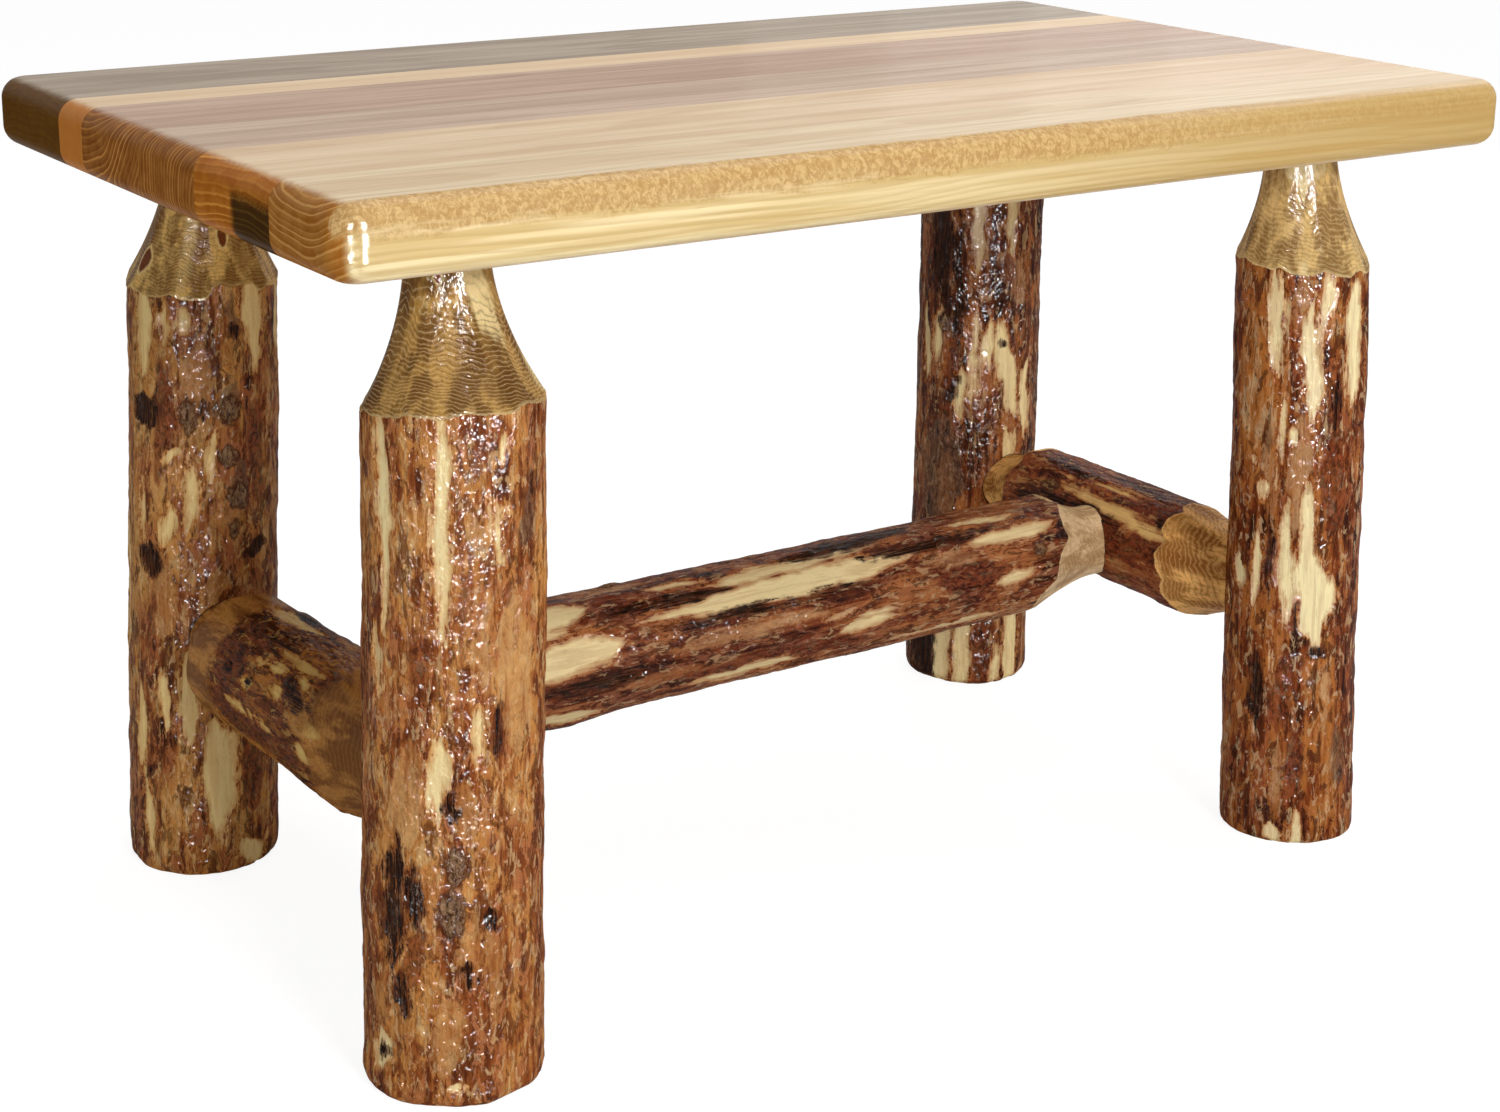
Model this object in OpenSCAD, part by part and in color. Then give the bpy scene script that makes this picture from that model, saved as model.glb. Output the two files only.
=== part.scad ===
// Low log ottoman or bench: an edge-glued plank top on four barked logs, held
// together by round tenons shaved on the logs and glued into bored mortises.
// X runs along the top, Y from front to back, Z up. The origin is on the floor
// under the middle of the top. All sizes are millimetres.

/* [Top] */
// Length of the top
top_l = 686; // [600:1:860]
// Width of the top, from its front edge to its back edge
top_w = 410; // [395:1:480]
// Thickness of the top
top_t = 35; // [32:0.5:50]
// Height of the upper face of the top above the floor
seat_h = 432; // [380:1:520]
// Radius of the rounded edges, upper and lower
edge_r = 10.5; // [3:0.5:13]
// Radius of the four corners, seen from above
corner_r = 15; // [13.5:0.5:40]
// Width of the front board
board_1_w = 67; // [60:1:75]
// Width of the second board, the one with the dark stain
board_2_w = 80; // [60:1:88]
// Width of the third board
board_3_w = 65; // [40:1:73]
// Width of the fourth board
board_4_w = 72; // [40:1:80]
// Width of the fifth board, the narrow pale one beside the back board
board_5_w = 31; // [20:1:39]

/* [Legs] */
// Distance from each end of the top to the middle of the feet
leg_inset_x = 72.5; // [55:0.5:110]
// Distance from the front and back edges of the top to the middle of the feet
leg_inset_y = 55.5; // [50:0.5:80]
// Offset of all four feet from the middle of the top, along X and Y
leg_shift = [3, 3.5]; // [-6:0.5:6]
// Diameter of the neck where a leg meets the top
leg_neck_d = 38; // [38:0.5:50]
// Radius of the eased edge round each foot
foot_r = 6; // [2:0.5:8]

/* [Front left leg] */
// Diameter of the log at mid height
front_left_d = 82.5; // [76:0.5:90]
// Drift of the log over its height, along X and Y
front_left_lean = [5.5, -2.5]; // [-14:0.5:14]
// Offset of the tenon from the middle of the log, along X and Y
front_left_off = [-2, 2]; // [-4:0.5:4]
// Height of the shaved taper between the bark and the top
front_left_taper_h = 71; // [50:1:90]
// How much lower its shoulder sits at the right and at the back than in the middle
front_left_tilt = [-2, 1]; // [-4:0.5:4]

/* [Back left leg] */
// Diameter of the log at mid height
back_left_d = 81; // [76:0.5:90]
// Drift of the log over its height, along X and Y
back_left_lean = [14, -5]; // [-14:0.5:14]
// Offset of the tenon from the middle of the log, along X and Y
back_left_off = [1.5, -1.5]; // [-4:0.5:4]
// Height of the shaved taper between the bark and the top
back_left_taper_h = 74; // [50:1:90]
// How much lower its shoulder sits at the right and at the back than in the middle
back_left_tilt = [0, 0]; // [-4:0.5:4]

/* [Front right leg] */
// Diameter of the log at mid height
front_right_d = 72; // [70:0.5:90]
// Drift of the log over its height, along X and Y
front_right_lean = [-9.5, 9]; // [-14:0.5:14]
// Offset of the tenon from the middle of the log, along X and Y
front_right_off = [-2.5, 2.5]; // [-4:0.5:4]
// Height of the shaved taper between the bark and the top
front_right_taper_h = 68; // [50:1:90]
// How much lower its shoulder sits at the right and at the back than in the middle
front_right_tilt = [1, -1.5]; // [-4:0.5:4]

/* [Back right leg] */
// Diameter of the log at mid height
back_right_d = 78.5; // [70:0.5:90]
// Drift of the log over its height, along X and Y
back_right_lean = [1, -1]; // [-14:0.5:14]
// Offset of the tenon from the middle of the log, along X and Y
back_right_off = [1, 1]; // [-4:0.5:4]
// Height of the shaved taper between the bark and the top
back_right_taper_h = 69; // [50:1:90]
// How much lower its shoulder sits at the right and at the back than in the middle
back_right_tilt = [0, 0]; // [-4:0.5:4]

/* [Left end stretcher] */
// Diameter of the log at its front end
left_front_d = 69.5; // [60:0.5:76]
// Diameter of the log at its back end
left_back_d = 69; // [60:0.5:76]
// Height of its axis at the front leg
left_front_z = 136.5; // [110:0.5:180]
// Height of its axis at the back leg
left_back_z = 130; // [110:0.5:180]
// Height of its tenon's axis above its own at the back leg
left_back_rise = 4.5; // [-5:0.5:5]
// Length of its taper outside the front leg
left_front_taper_l = 50; // [30:1:80]
// Length of its taper outside the back leg
left_back_taper_l = 20; // [12:1:60]
// How much further its front taper reaches along its upper side than along its flanks
left_front_slant = 10; // [0:1:12]
// Diameter of its neck where it enters the front leg
left_front_neck_d = 43; // [38:0.5:50]
// Diameter of its neck where it enters the back leg
left_back_neck_d = 44; // [38:0.5:54]

/* [Right end stretcher] */
// Diameter of the log at its front end
right_front_d = 65; // [60:0.5:70]
// Diameter of the log at its back end
right_back_d = 62.5; // [60:0.5:70]
// Height of its axis at the front leg
right_front_z = 135; // [110:0.5:180]
// Height of its axis at the back leg
right_back_z = 136.5; // [110:0.5:180]
// Height of its tenon's axis above its own at the front leg
right_front_rise = 2; // [-5:0.5:5]
// Length of its taper outside the front leg
right_front_taper_l = 45; // [30:1:80]
// Length of its taper outside the back leg
right_back_taper_l = 32; // [15:1:60]
// How much further its front taper reaches along its upper side than along its flanks
right_front_slant = 7; // [0:1:12]
// Diameter of its neck where it enters the front leg
right_front_neck_d = 45; // [38:0.5:50]
// Diameter of its neck where it enters the back leg
right_back_neck_d = 38; // [36:0.5:50]

/* [Long stretcher] */
// Diameter of the log at its left end
long_left_d = 67; // [60:0.5:72]
// Diameter of the log at its right end
long_right_d = 68; // [60:0.5:74]
// Drop of its axis below the middle of each end stretcher, left and right
long_drop = [3.5, 2.5]; // [-4:0.5:4]
// Length of its taper outside the left end stretcher
long_left_taper_l = 40; // [25:1:60]
// Length of its taper outside the right end stretcher
long_right_taper_l = 48; // [25:1:60]
// How much further its right taper reaches along its underside than along its flanks
long_right_slant = 15; // [0:1:16]
// Diameter of its neck where it enters an end stretcher
long_neck_d = 42; // [38:0.5:44]
// Height of the swelling on its underside, where branches once grew
swell = 4; // [0:0.5:6]
// Distance of the swelling from the left end stretcher's axis
swell_at = 135; // [110:1:420]

/* [Joinery] */
// Diameter of the tenons that hold the legs in the top
leg_tenon_d = 35; // [25:0.5:37]
// Length of a leg's tenon inside the top
leg_tenon_l = 24; // [15:0.5:28]
// Diameter of the tenons at the ends of the stretchers
rail_tenon_d = 32; // [22:0.5:34]
// Depth of a stretcher's tenon below the bark of the log that takes it
rail_tenon_l = 40; // [30:0.5:44]
// Depth of the flat seat for a stretcher's shoulder below the bark beside it
seat_depth = 2; // [0.5:0.5:4]
// Gap round a neck where it enters its seat
seat_gap = 0.3; // [0.1:0.1:1]
// Glue gap all round a tenon
glue_gap = 0.15; // [0.05:0.05:0.5]
// Glue space past the end of a tenon
end_gap = 1.5; // [0.5:0.5:3]

/* [Log surface] */
// Loss of diameter over one metre of a leg, from the foot up
log_taper = 7; // [0:0.5:12]
// Height of the two-lobed out-of-round of a log
oval = 0.6; // [0:0.1:1.5]
// Height of the three-lobed out-of-round of a log
lobe = 0.4; // [0:0.1:1.5]
// Height of the slow waves along a log
wave = 0.4; // [0:0.1:1.5]
// Number of drawknife flats round a shaved taper
flats = 9; // [6:1:14]
// Hollowness of the taper at the top of a leg, where 1 is a straight cone
leg_flare = 1.9; // [1:0.1:2.5]
// Hollowness of the taper at the end of a stretcher, where 1 is a straight cone
rail_flare = 1.5; // [1:0.1:2]

/* [Hidden] */

front_w = [board_1_w, board_2_w, board_3_w, board_4_w, board_5_w];
board_tone = ["burlywood", "tan", "rosybrown", "sienna", "wheat", "dimgray"];
function sum_to(list, n) = n <= 0 ? 0 : list[n - 1] + sum_to(list, n - 1);
board_w = concat(front_w, [top_w - sum_to(front_w, len(front_w))]);
under_z = seat_h - top_t;

// A leg is [middle of its foot, drift, diameter, grain phase, tenon offset, taper height,
// tilt of the shoulder]
foot_x = top_l / 2 - leg_inset_x;
foot_y = top_w / 2 - leg_inset_y;
FL = [[-foot_x, -foot_y] + leg_shift, front_left_lean, front_left_d, 68,
      front_left_off, front_left_taper_h, front_left_tilt];
BL = [[-foot_x, foot_y] + leg_shift, back_left_lean, back_left_d, 177,
      back_left_off, back_left_taper_h, back_left_tilt];
FR = [[foot_x, -foot_y] + leg_shift, front_right_lean, front_right_d, 75,
      front_right_off, front_right_taper_h, front_right_tilt];
BR = [[foot_x, foot_y] + leg_shift, back_right_lean, back_right_d, 220,
      back_right_off, back_right_taper_h, back_right_tilt];
LEGS = [FL, BL, FR, BR];

// Where the axis of a leg's log is at height z, and where its tenon meets the top
function leg_at(leg, z) =
    [leg[0][0] + leg[1][0] * z / under_z, leg[0][1] + leg[1][1] * z / under_z, z];
function neck_at(leg) = leg_at(leg, under_z) + [leg[4][0], leg[4][1], 0];

// Ends of the stretchers' axes
left_back = leg_at(BL, left_back_z);
left_front = leg_at(FL, left_front_z);
right_back = leg_at(BR, right_back_z);
right_front = leg_at(FR, right_front_z);
long_left = (left_back + left_front) / 2 - [0, 0, long_drop[0]];
long_right = (right_back + right_front) / 2 - [0, 0, long_drop[1]];

// An end of a stretcher is [radius of the log it enters, taper length, neck diameter,
// slant of the shoulder, rise of the tenon]
LEFT_BACK = [back_left_d / 2, left_back_taper_l, left_back_neck_d, 0, left_back_rise];
LEFT_FRONT = [front_left_d / 2, left_front_taper_l, left_front_neck_d, left_front_slant, 0];
RIGHT_BACK = [back_right_d / 2, right_back_taper_l, right_back_neck_d, 0, 0];
RIGHT_FRONT = [front_right_d / 2, right_front_taper_l, right_front_neck_d, right_front_slant,
               right_front_rise];
LONG_LEFT = [(left_back_d + left_front_d) / 4, long_left_taper_l, long_neck_d, 0, 0];
LONG_RIGHT = [(right_back_d + right_front_d) / 4, long_right_taper_l, long_neck_d, -long_right_slant, 0];

// Fineness of the logs
sides = 36;
foot_rings = 4;
leg_rings = 9;
rail_step = 32;
taper_rings = 7;
round_fn = 96;
saw_over = 1;
tenon_root = 5;

// Turn of the lobes and number of waves over the length of a log
oval_turn = 60;
lobe_turn = 140;
waves = 1.25;
swell_l = 30;

// Radius of a log's bark at angle a and share u of its length, for a mean radius r
function bark_r(r, a, u, phase) =
    r + oval * cos(2 * a + phase + oval_turn * u) + lobe * cos(3 * a - 2 * phase + lobe_turn * u)
      + wave * sin(360 * waves * u + 3 * phase + a);

// Angle from the middle of the nearest drawknife flat
flat_w = 360 / flats;
function off_flat(a, phase) = (((a + phase) % flat_w) + flat_w) % flat_w - flat_w / 2;

// Radius over the corners of the flats where they first touch a log of radius r
function corner_over(r) = r / cos(flat_w / 2);

// Radius of a shaved taper at share t of the way from its shoulder to its neck.
// The flats are full at the shoulder and fade into a round neck.
function cut_r(r, neck_r, t, a, phase, flare) =
    let (flat = cos(flat_w / 2) / cos(off_flat(a, phase)))
    (neck_r + (corner_over(r) - neck_r) * pow(max(0, 1 - t), flare)) * (1 - (1 - flat) * (1 - t));

// Share of a taper's length by which bark is left standing between two flats
function scallop(r, neck_r, a, phase, flare) =
    (1 - cos(off_flat(a, phase))) * corner_over(r) / (flare * (corner_over(r) - neck_r));

// Numbers from a to b in n equal steps, without a
function steps(a, b, n) = [for (i = [1:n]) a + (b - a) * i / n];

// Skin over a ring of staves, each a list of as many points from one end to the other
module barrel(staves) {
    n = len(staves);
    m = len(staves[0]);
    skin = [for (j = [0:n - 1], i = [0:m - 2]) let (k = (j + 1) % n)
        each [[j * m + i, j * m + i + 1, k * m + i + 1], [j * m + i, k * m + i + 1, k * m + i]]];
    foot = [for (j = [0:n - 1]) j * m];
    head = [for (j = [n - 1:-1:0]) j * m + m - 1];
    polyhedron([for (stave = staves) each stave], concat(skin, [foot, head]), convexity = 4);
}

// Places children with their Z axis along the line from a to b and, where that line
// is level, their X axis straight down
module along(a, b) {
    d = b - a;
    translate(a) rotate([0, acos(d[2] / norm(d)), atan2(d[1], d[0])]) children();
}

// Round peg or bore beside the line from a to b, from s0 to s1 along it and rise above it
module peg(a, b, s0, s1, r, rise = 0) {
    along(a, b) translate([-rise, 0, s0]) cylinder(r = r, h = s1 - s0, $fn = round_fn);
}

// Distance from a log's axis to the flat seat bored in it for an end of a stretcher
function seat_at(end) = sqrt(pow(end[0], 2) - pow(end[2] / 2 + seat_gap, 2)) - seat_depth;

// Round peg or bore for a leg's tenon, square to the top, from s0 to s1 above its underside
module top_peg(leg, s0, s1, r) {
    translate(neck_at(leg) + [0, 0, s0]) cylinder(r = r, h = s1 - s0, $fn = round_fn);
}

// Seat and mortise in a log for an end of the stretcher whose axis runs from a, in the log, to b
module socket(a, b, end) {
    peg(a, b, end[0] - rail_tenon_l - end_gap, end[0], rail_tenon_d / 2 + glue_gap, end[4]);
    peg(a, b, seat_at(end), 2 * end[0], end[2] / 2 + seat_gap, end[4]);
}

// Section of the rounded rim of the top: outwards along X and up along Y
module rim() {
    translate([0, edge_r]) square([edge_r, top_t - 2 * edge_r]);
    translate([0, edge_r])
        intersection() {
            circle(edge_r, $fn = round_fn);
            translate([0, -2 * edge_r]) square(2 * edge_r);
        }
    translate([0, top_t - edge_r])
        intersection() {
            circle(edge_r, $fn = round_fn);
            square(2 * edge_r);
        }
}

// Straight length of the rim, from half_l left to half_l right of the middle, out at distance y
module rim_side(half_l, y) {
    translate([-half_l, y, under_z]) rotate([90, 0, 90]) linear_extrude(2 * half_l) rim();
}

// The whole top before it is parted into boards, with its rounded edges
module blank() {
    x = top_l / 2 - corner_r;
    y = top_w / 2 - corner_r;
    reach = corner_r - edge_r;
    corners = [[x, y], [-x, y], [-x, -y], [x, -y]];
    translate([-x, -y - reach, under_z]) cube([2 * x, 2 * (y + reach), top_t]);
    translate([-x - reach, -y, under_z]) cube([2 * (x + reach), 2 * y, top_t]);
    for (turn = [0, 180]) rotate(turn) rim_side(x, y + reach);
    for (turn = [90, 270]) rotate(turn) rim_side(y, x + reach);
    for (i = [0:3])
        translate([corners[i][0], corners[i][1], under_z])
            rotate(90 * i)
                rotate_extrude(angle = 90, $fn = round_fn) {
                    square([reach, top_t]);
                    translate([reach, 0]) rim();
                }
}

// Mortises in the underside that take the legs' tenons, bored across the glue lines
module top_mortises() {
    for (leg = LEGS)
        top_peg(leg, -saw_over, leg_tenon_l + end_gap, leg_tenon_d / 2 + glue_gap);
}

// Board i of the top, counted from the front edge
module board(i) {
    y0 = -top_w / 2 + sum_to(board_w, i);
    color(board_tone[i]) difference() {
        intersection() {
            blank();
            translate([-top_l, y0, under_z - saw_over]) cube([2 * top_l, board_w[i], top_t + 2 * saw_over]);
        }
        top_mortises();
    }
}

// Stave of a leg at angle a, from just below the floor to the neck
function leg_stave(leg, a) =
    let (
        neck_r = leg_neck_d / 2,
        taper_h = leg[5] + leg[6][0] * cos(a) + leg[6][1] * sin(a),
        shoulder = under_z - taper_h,
        bark_z = shoulder + taper_h * scallop(leg[2] / 2, neck_r, a, leg[3], leg_flare),
        foot = [for (i = [0:foot_rings - 1]) foot_r * (1 - cos(90 * i / foot_rings))]
    )
    [for (z = concat([-saw_over], foot, [foot_r], steps(foot_r, bark_z, leg_rings),
                     steps(bark_z, under_z, taper_rings)))
        let (
            r = leg[2] / 2 - log_taper / 2 * (z - seat_h / 2) / 1000,
            t = max(0, (z - shoulder) / taper_h),
            sunk = foot_r - min(foot_r, max(0, z)),
            bark = bark_r(r, a, z / under_z, leg[3]) - foot_r + sqrt(pow(foot_r, 2) - pow(sunk, 2)),
            cut = cut_r(r, neck_r, t, a, leg[3], leg_flare),
            q = z > bark_z ? min(bark, cut) : bark
        )
        leg_at(leg, z) + [q * cos(a) + leg[4][0] * t, q * sin(a) + leg[4][1] * t, 0]];

// Leg with its tenon, sawn flat on the floor and bored for the stretcher towards far_end
module leg(leg, rail_end, far_end, end) {
    color("peru") difference() {
        union() {
            barrel([for (j = [0:sides - 1]) leg_stave(leg, 360 * j / sides)]);
            top_peg(leg, -tenon_root, leg_tenon_l, leg_tenon_d / 2);
        }
        translate([leg[0][0] - leg[2], leg[0][1] - leg[2], -2 * leg[2]]) cube(2 * leg[2]);
        socket(rail_end, far_end, end);
    }
}

// Stave of a stretcher of length s at angle a, where angle 180 is its upper side
function rail_stave(s, end0, end1, d0, d1, phase, swell, a) =
    let (
        l0 = end0[1] - end0[3] * cos(a),
        l1 = end1[1] - end1[3] * cos(a),
        z0 = end0[0],
        z1 = s - end1[0],
        bark0 = z0 + l0 * (1 - scallop(d0 / 2, end0[2] / 2, a, phase, rail_flare)),
        bark1 = z1 - l1 * (1 - scallop(d1 / 2, end1[2] / 2, a, phase, rail_flare)),
        rings = ceil((z1 - z0 - end0[1] - end1[1]) / rail_step)
    )
    [for (z = concat([seat_at(end0), z0], steps(z0, bark0, taper_rings), steps(bark0, bark1, rings),
                     steps(bark1, z1, taper_rings), [s - seat_at(end1)]))
        let (
            u = (z - z0) / (z1 - z0),
            t0 = min(1, max(0, 1 - (z - z0) / l0)),
            t1 = min(1, max(0, 1 - (z1 - z) / l1)),
            r = (d0 + (d1 - d0) * u) / 2,
            knuckle = swell * exp(-pow((z - swell_at) / swell_l, 2)) * pow(max(0, cos(a)), 2),
            bark = bark_r(r, a, u, phase) + knuckle,
            cut0 = cut_r(r, end0[2] / 2, t0, a, phase, rail_flare),
            cut1 = cut_r(r, end1[2] / 2, t1, a, phase, rail_flare),
            q = z < bark0 ? min(bark, cut0) : z > bark1 ? min(bark, cut1) : bark
        )
        [q * cos(a) - end0[4] * t0 - end1[4] * t1, q * sin(a), z]];

// Tenon at the end of a stretcher whose axis runs from a to b
module rail_tenon(a, b, end) {
    peg(a, b, end[0] - rail_tenon_l, end[0] + tenon_root, rail_tenon_d / 2, end[4]);
}

// Stretcher on the line from a to b, with its two tenons
module rail(a, b, end0, end1, d0, d1, phase, swell) {
    along(a, b) barrel([for (j = [0:sides - 1])
        rail_stave(norm(b - a), end0, end1, d0, d1, phase, swell, 360 * j / sides)]);
    rail_tenon(a, b, end0);
    rail_tenon(b, a, end1);
}

// End stretcher, with the mortise at mid that takes the long stretcher coming from far_end
module end_rail(back, front, back_end, front_end, back_d, front_d, phase, mid, far_end, long_end) {
    color("chocolate") difference() {
        rail(back, front, back_end, front_end, back_d, front_d, phase, 0);
        socket(mid, far_end, long_end);
    }
}

// Long stretcher between the two end stretchers
module long_rail() {
    color("saddlebrown")
        rail(long_left, long_right, LONG_LEFT, LONG_RIGHT, long_left_d, long_right_d, 200, swell);
}

board(0);  // board_1_front
board(1);  // board_2_stained
board(2);  // board_3
board(3);  // board_4
board(4);  // board_5_narrow
board(5);  // board_6_back
leg(FL, left_front, left_back, LEFT_FRONT);  // front_left_leg
leg(BL, left_back, left_front, LEFT_BACK);  // back_left_leg
leg(FR, right_front, right_back, RIGHT_FRONT);  // front_right_leg
leg(BR, right_back, right_front, RIGHT_BACK);  // back_right_leg
end_rail(left_back, left_front, LEFT_BACK, LEFT_FRONT, left_back_d, left_front_d, 40,  // left_end_stretcher
             long_left, long_right, LONG_LEFT);
end_rail(right_back, right_front, RIGHT_BACK, RIGHT_FRONT, right_back_d, right_front_d, 160,  // right_end_stretcher
             long_right, long_left, LONG_RIGHT);
long_rail();  // long_stretcher
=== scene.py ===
"""Looks of a low log ottoman: lacquered plank top on barked logs with shaved taper ends.
Lengths here are millimetres until a mesh is made; the scene itself is in metres."""
import math
from types import SimpleNamespace
import bpy
import numpy as np
from mathutils import Matrix, Vector


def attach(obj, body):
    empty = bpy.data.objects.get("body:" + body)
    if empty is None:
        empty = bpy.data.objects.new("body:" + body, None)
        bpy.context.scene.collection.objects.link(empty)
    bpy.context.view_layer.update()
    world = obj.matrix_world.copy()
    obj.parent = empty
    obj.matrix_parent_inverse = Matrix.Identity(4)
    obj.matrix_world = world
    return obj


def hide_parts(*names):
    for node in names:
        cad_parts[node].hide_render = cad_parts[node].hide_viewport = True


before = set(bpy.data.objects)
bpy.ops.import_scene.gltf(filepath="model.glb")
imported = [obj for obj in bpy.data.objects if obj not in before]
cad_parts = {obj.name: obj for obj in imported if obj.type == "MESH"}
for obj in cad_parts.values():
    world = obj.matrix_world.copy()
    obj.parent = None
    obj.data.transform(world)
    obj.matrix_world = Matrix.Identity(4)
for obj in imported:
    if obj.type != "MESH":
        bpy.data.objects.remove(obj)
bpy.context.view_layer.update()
STEP = 1.3

# Sizes of the part
MM = 0.001
UNDER, SEAT = 397.0, 432.0  # lower and upper face of the top
FLATS = 9  # drawknife cuts round a shaved end
FLAT_W = 360 / FLATS  # degrees
LEG_NECK, LEG_TENON, TENON_L = 19.0, 17.5, 24.0  # two radii and a length
LEG_FLARE, RAIL_FLARE = 1.9, 1.5  # how hollow the shaved tapers are
LEG_SCALLOP = 0.6  # share of a full scallop that the bark's edge on a leg has
SEAT_DEPTH, SEAT_GAP = 2.0, 0.3  # flat seats bored for the stretchers
BARE_L = 20  # at least this much of a leg under the top is bare
FOOT_R, FOOT_RINGS = 6.0, 6  # rounding round a foot
OVAL, LOBE, WAVE = 0.6, 0.4, 0.4  # low waves of a log
THINNING = 3.5  # radius a leg loses in a metre of height
LIP, LIP_SLOPE, LIP_W = 0.35, 0.14, 2.5  # raised rim of a taper beside the bark
PLANE_DEPTH, RUN_OUT = 0.3, 3  # flats planed along the bark, and where they and raised edges fade
REACH = 6.0  # how far distances to marks and seams count
# foot is where the axis meets the floor, lean its shift up to the top, off the shift of the tenon,
# tilt that of the taper's lower edge, steps the turns between which this edge is raised, edge the
# rounding of the foot
LEGS = {
    "front_left_leg": dict(
        foot=(-267.5, -146), lean=(5.5, -2.5), d=82.5, phase=68, off=(-2, 2), taper=71, tilt=(0.5, 5)),
    "back_left_leg": dict(
        foot=(-267.5, 153), lean=(14, -5), d=81, phase=177, off=(1.5, -1.5), taper=74, tilt=(0, 0),
        steps=((165, 249, -1), (254, 292, 5))),
    "front_right_leg": dict(
        foot=(273.5, -146), lean=(-9.5, 9), d=72, phase=75, off=(-2.5, 2.5), taper=68, tilt=(1, -1.5),
        edge=3),
    "back_right_leg": dict(
        foot=(273.5, 153), lean=(1, -1), d=78.5, phase=220, off=(1, 1), taper=69, tilt=(0, 0)),
}


def leg_at(name, z):
    leg = LEGS[name]
    z = np.asarray(z, float)
    (x, y), (dx, dy) = leg["foot"], leg["lean"]
    return np.stack([x + dx * z / UNDER, y + dy * z / UNDER, z], -1)


def shaved(host, taper, neck, slant=0, rise=0):
    """End of a stretcher: radius of the log it enters, length, neck's radius, slope of its edge, shift."""
    return dict(host=host, taper=taper, neck=neck, slant=slant, rise=rise)


L_BACK, L_FRONT = leg_at("back_left_leg", 130), leg_at("front_left_leg", 136.5)
R_BACK, R_FRONT = leg_at("back_right_leg", 136.5), leg_at("front_right_leg", 135)
M_LEFT = (L_BACK + L_FRONT) / 2 - [0, 0, 3.5]
M_RIGHT = (R_BACK + R_FRONT) / 2 - [0, 0, 2.5]
RAILS = {
    "left_end_stretcher": dict(
        a=L_BACK, b=L_FRONT, e0=shaved(40.5, 20, 22, rise=4.5), e1=shaved(41.25, 50, 21.5, 10),
        d=(69, 69.5), phase=40, bare=30),
    "right_end_stretcher": dict(
        a=R_BACK, b=R_FRONT, e0=shaved(39.25, 32, 19), e1=shaved(36, 45, 22.5, 7, 2), d=(62.5, 65),
        phase=160),
    "long_stretcher": dict(
        a=M_LEFT, b=M_RIGHT, e0=shaved(34.625, 40, 21), e1=shaved(31.875, 48, 21, -15), d=(67, 68), phase=200,
        swell=4),
}
SWELL_AT, SWELL_W = 135, 30  # place and length of the swelling on the long stretcher

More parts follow.
